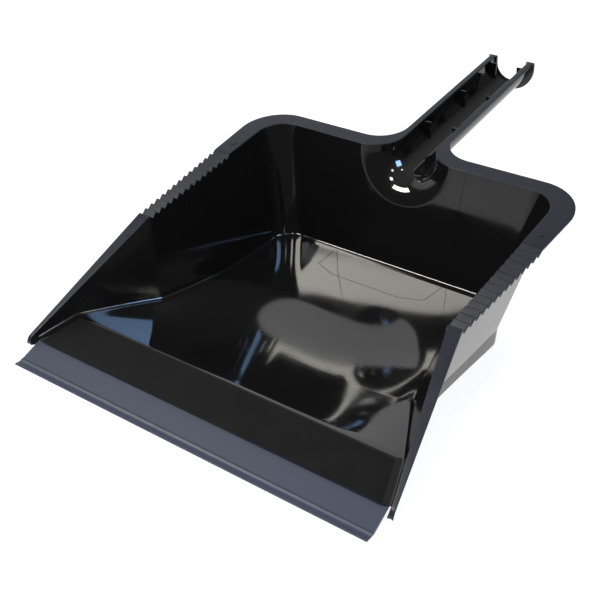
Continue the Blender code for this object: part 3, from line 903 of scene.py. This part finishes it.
def rubber():
    material, shader = new_material("blue_grey_rubber", colour=(0.075, 0.092, 0.150), roughness=0.42)
    tree = material.node_tree
    shader.inputs["Specular IOR Level"].default_value = 0.2
    grain = bump(tree, noise(tree, scale=1800.0, detail=3.0), strength=0.3, distance=0.0001)
    tree.links.new(grain, shader.inputs["Normal"])
    return material


# ---------------------------------------------------------------- studio and camera


def glowing(name, grey, roughness, glow):
    material, shader = new_material(name, (grey, grey, grey), roughness)
    shader.inputs["Emission Color"].default_value = (1.0, 1.0, 1.0, 1.0)
    shader.inputs["Emission Strength"].default_value = glow
    return material


def make_floor():
    """The pale floor and the pale surroundings. The plastic mirrors the studio's world instead of them."""
    bpy.ops.mesh.primitive_plane_add(size=FLOOR_SIZE, location=(0.0, 0.0, CAD_LOW.z - FLOOR_DROP))
    floor = bpy.context.object
    floor.name = "studio_floor"
    floor.data.materials.append(glowing("pale_floor", grey=FLOOR_GREY, roughness=0.9, glow=FLOOR_GLOW))
    bpy.ops.mesh.primitive_uv_sphere_add(radius=DOME_RADIUS, segments=48, ring_count=24)
    dome = bpy.context.object
    dome.name = "studio_dome"
    dome.data.materials.append(glowing("pale_dome", grey=0.0, roughness=1.0, glow=DOME_GLOW))
    dome.visible_diffuse = dome.visible_shadow = dome.visible_transmission = False
    for stand in (floor, dome):
        stand.visible_glossy = False


def vector_node(tree, operation, value, constant=(0.0, 0.0, 0.0)):
    node = tree.nodes.new("ShaderNodeVectorMath")
    node.operation = operation
    node.inputs[1].default_value = constant
    tree.links.new(value, node.inputs[0])
    return node


def make_world():
    """A white table and a white backdrop behind it, in a dim room with a paler ceiling."""
    world = bpy.data.worlds.new("studio")
    bpy.context.scene.world = world
    world.use_nodes = True
    tree = world.node_tree
    toward = tree.nodes.new("ShaderNodeTexCoord").outputs["Generated"]
    split = tree.nodes.new("ShaderNodeSeparateXYZ")
    tree.links.new(toward, split.inputs["Vector"])
    height = split.outputs["Z"]
    low, high = (sin(radians(edge)) for edge in TABLE_EDGE)
    table = mapped(tree, height, low, high, TABLE, ROOM)
    low, high = (sin(radians(edge)) for edge in CEILING_EDGE)
    ceiling = mapped(tree, height, low, high, ROOM, CEILING)
    room = math_node(tree, "MAXIMUM", table, ceiling)
    flat = vector_node(tree, "MULTIPLY", toward, (1.0, 1.0, 0.0))
    level = vector_node(tree, "NORMALIZE", flat.outputs["Vector"])
    facing = vector_node(tree, "DOT_PRODUCT", level.outputs["Vector"], direction(BACKDROP_AZIMUTH, 0))
    outer, inner = (cos(radians(BACKDROP_HALF + side * BACKDROP_SOFTNESS)) for side in (1, -1))
    behind = mapped(tree, facing.outputs["Value"], outer, inner, 0.0, BACKDROP)
    low, high = (sin(radians(BACKDROP_TOP + side * BACKDROP_SOFTNESS)) for side in (-1, 1))
    above = mapped(tree, height, low, high, 1.0, BACKDROP_REST)
    light = math_node(tree, "MAXIMUM", room, math_node(tree, "MULTIPLY", behind, above))
    background = tree.nodes["Background"]
    tree.links.new(light, background.inputs["Strength"])
    background.inputs["Color"].default_value = (1.0, 1.0, 1.0, 1.0)


def math_node(tree, operation, a, b):
    node = tree.nodes.new("ShaderNodeMath")
    node.operation = operation
    tree.links.new(a, node.inputs[0])
    tree.links.new(b, node.inputs[1])
    return node.outputs["Value"]


def softbox(name, place, aim, size, power, colour, fills):
    data = bpy.data.lights.new(name, "AREA")
    data.shape = "RECTANGLE"
    data.size, data.size_y = size
    data.energy = power
    data.color = colour
    light = bpy.data.objects.new(name, data)
    bpy.context.scene.collection.objects.link(light)
    light.visible_diffuse = fills
    light.location = place
    light.rotation_euler = (Vector(aim) - Vector(place)).to_track_quat("-Z", "Y").to_euler()


def direction(azimuth, elevation):
    """A unit vector; azimuth is counted from +X towards +Y, in degrees."""
    a, e = radians(azimuth), radians(elevation)
    return Vector((cos(a) * cos(e), sin(a) * cos(e), sin(e)))


def make_lights():
    """Softboxes round the pan: (name, azimuth, elevation, distance, size, radiance, colour, fills).

    Those that don't fill show only in the gloss and leave matt surfaces to the others.
    """
    centre = (CAD_LOW + CAD_HIGH) / 2
    boxes = (("right_softbox", 11, 48, 1.3, (0.46, 0.46), 18.0, (0.60, 1.0, 1.70), False),
             ("front_softbox", -119, 40, 1.4, (0.70, 0.27), 60.0, (1.0, 0.98, 0.88), False),
             ("front_lamp", -80, 47, 1.5, (0.16, 0.16), 60.0, (1.0, 1.0, 1.0), True),
             ("corner_lamp", -43, 51, 1.4, (0.14, 0.14), 30.0, (0.90, 0.92, 1.0), False),
             ("top_lamp", 15, 74, 1.5, (0.12, 0.12), 30.0, (1.0, 1.0, 1.0), True))
    for name, azimuth, elevation, distance, size, radiance, colour, fills in boxes:
        power = radiance * pi * size[0] * size[1]
        softbox(name, centre + direction(azimuth, elevation) * distance, centre, size, power, colour, fills)


def make_camera():
    """The camera in front, to the right and above, rolled a little."""
    azimuth, elevation, roll = radians(CAMERA_AZIMUTH), radians(CAMERA_ELEVATION), radians(CAMERA_ROLL)
    centre = (CAD_LOW + CAD_HIGH) / 2
    aim = Vector((centre.x + AIM_FROM_CENTRE[0], centre.y + AIM_FROM_CENTRE[1], CAD_LOW.z + AIM_HEIGHT))
    back = Vector((sin(azimuth) * cos(elevation), -cos(azimuth) * cos(elevation), sin(elevation)))
    level = Vector((cos(azimuth), sin(azimuth), 0.0))
    up = back.cross(level)
    across = level * cos(roll) + up * sin(roll)
    data = bpy.data.cameras.new("camera")
    data.sensor_width = CAMERA_SENSOR
    data.lens = CAMERA_LENS
    camera = bpy.data.objects.new("camera", data)
    bpy.context.scene.collection.objects.link(camera)
    camera.matrix_world = Matrix((across, back.cross(across), back)).transposed().to_4x4()
    camera.location = aim + back * CAMERA_DISTANCE
    bpy.context.scene.camera = camera


make_camera()
make_world()
make_floor()
make_lights()
make_pan()
make_lip()
bpy.context.scene.view_settings.view_transform = "Standard"
